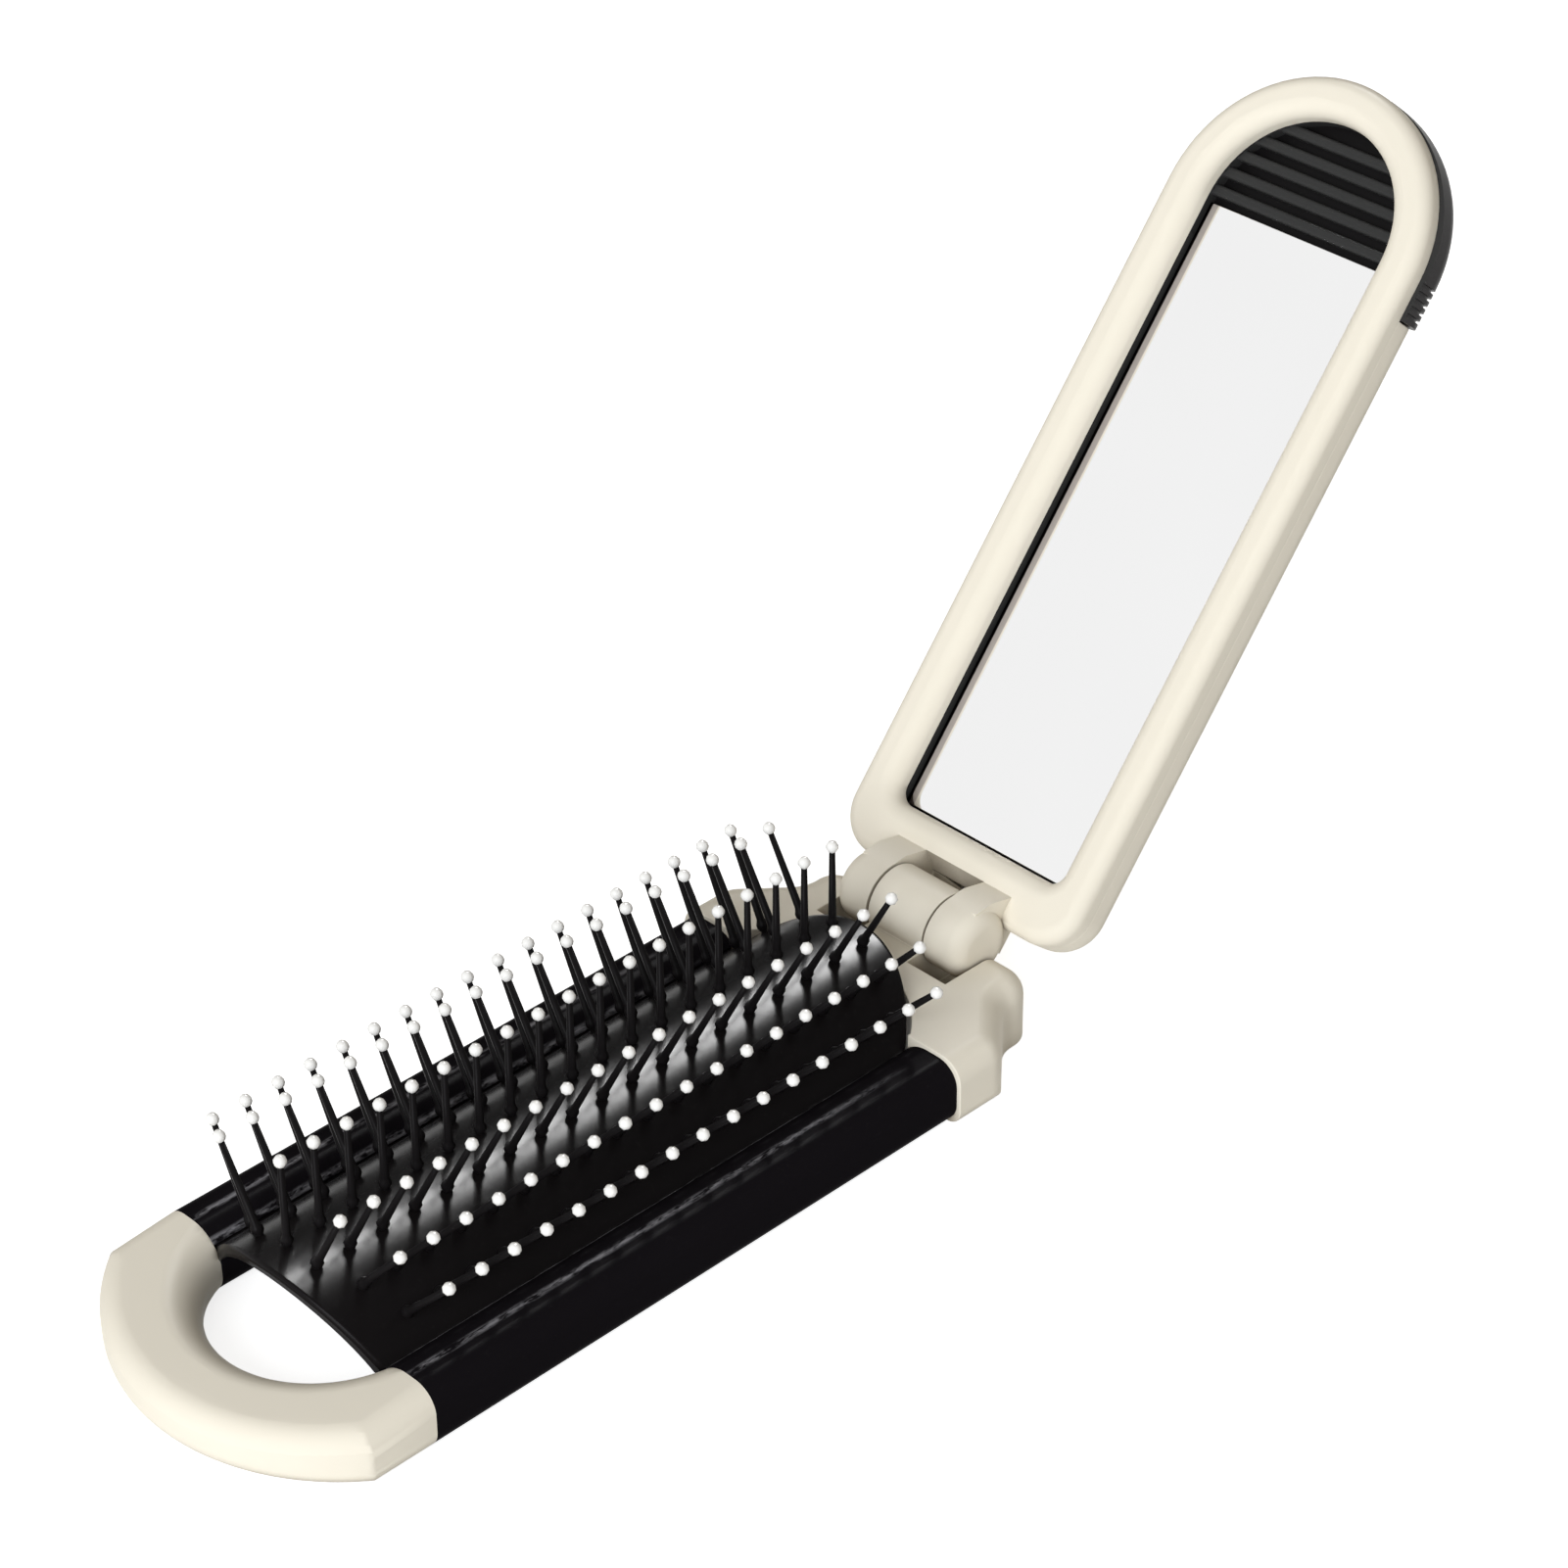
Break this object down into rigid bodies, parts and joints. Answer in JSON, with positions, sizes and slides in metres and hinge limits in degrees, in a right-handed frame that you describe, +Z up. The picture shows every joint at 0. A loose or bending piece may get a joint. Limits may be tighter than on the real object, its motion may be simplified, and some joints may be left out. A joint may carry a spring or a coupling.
{
  "type": "folding pocket hair brush with mirror",
  "caption": "Pocket hair brush with a finger loop, an arched pad of ball-tipped pins and a round-ended mirror half that folds over the pins on a pinned hinge.",
  "frame": {"origin": "middle of the flat foot of the hinge end cap, on the plane that the brush half lies on", "axes": "+X from the finger loop to the hinge, +Y to the far side rail, +Z up; the mirror half rises from the hinge at 50 degrees, leaning away from the pins"},
  "size_m": [0.1688, 0.0402, 0.0815],
  "materials": {
    "cream_plastic": "satin",
    "black_plastic": "gloss",
    "pad_rubber": "satin",
    "pin_plastic": "satin",
    "tip_plastic": "gloss",
    "pin_steel": "satin",
    "mirror_glass": "polished",
    "foam_tape": "matte"
  },
  "bodies": {
    "brush_half": {"end_loop": "cream_plastic", "side_rail_near": "black_plastic", "side_rail_far": "black_plastic", "hinge_end_cap": "cream_plastic", "bristle_pad": "pad_rubber", "pins_row_1": "pin_plastic", "pins_row_2": "pin_plastic", "pins_row_3": "pin_plastic", "pins_row_4": "pin_plastic", "pins_row_5": "pin_plastic", "pins_row_6": "pin_plastic", "pin_tips_row_1": "tip_plastic", "pin_tips_row_2": "tip_plastic", "pin_tips_row_3": "tip_plastic", "pin_tips_row_4": "tip_plastic", "pin_tips_row_5": "tip_plastic", "pin_tips_row_6": "tip_plastic"},
    "hinge_pin": {"hinge_pin": "pin_steel"},
    "mirror_half": {"mirror_frame": "cream_plastic", "back_cover": "cream_plastic", "ribbed_core": "black_plastic", "mirror_glass": "mirror_glass", "glass_adhesive": "foam_tape"}
  },
  "joints": [
    {"name": "closing_fold", "type": "hinge", "parent": "brush_half", "child": "hinge_pin", "pos_m": [0.006, 0, 0.0089], "axis": [0, 1, 0], "range_deg": [-132, 0], "deforming": ["bristle_pad", "pins_row_1", "pins_row_2", "pins_row_3", "pins_row_4", "pins_row_5", "pins_row_6", "pin_tips_row_1", "pin_tips_row_2", "pin_tips_row_3", "pin_tips_row_4", "pin_tips_row_5", "pin_tips_row_6"]},
    {"name": "opening_fold", "type": "hinge", "parent": "hinge_pin", "child": "mirror_half", "pos_m": [0.006, 0, 0.0089], "axis": [0, 1, 0], "range_deg": [0, 50]}
  ]
}
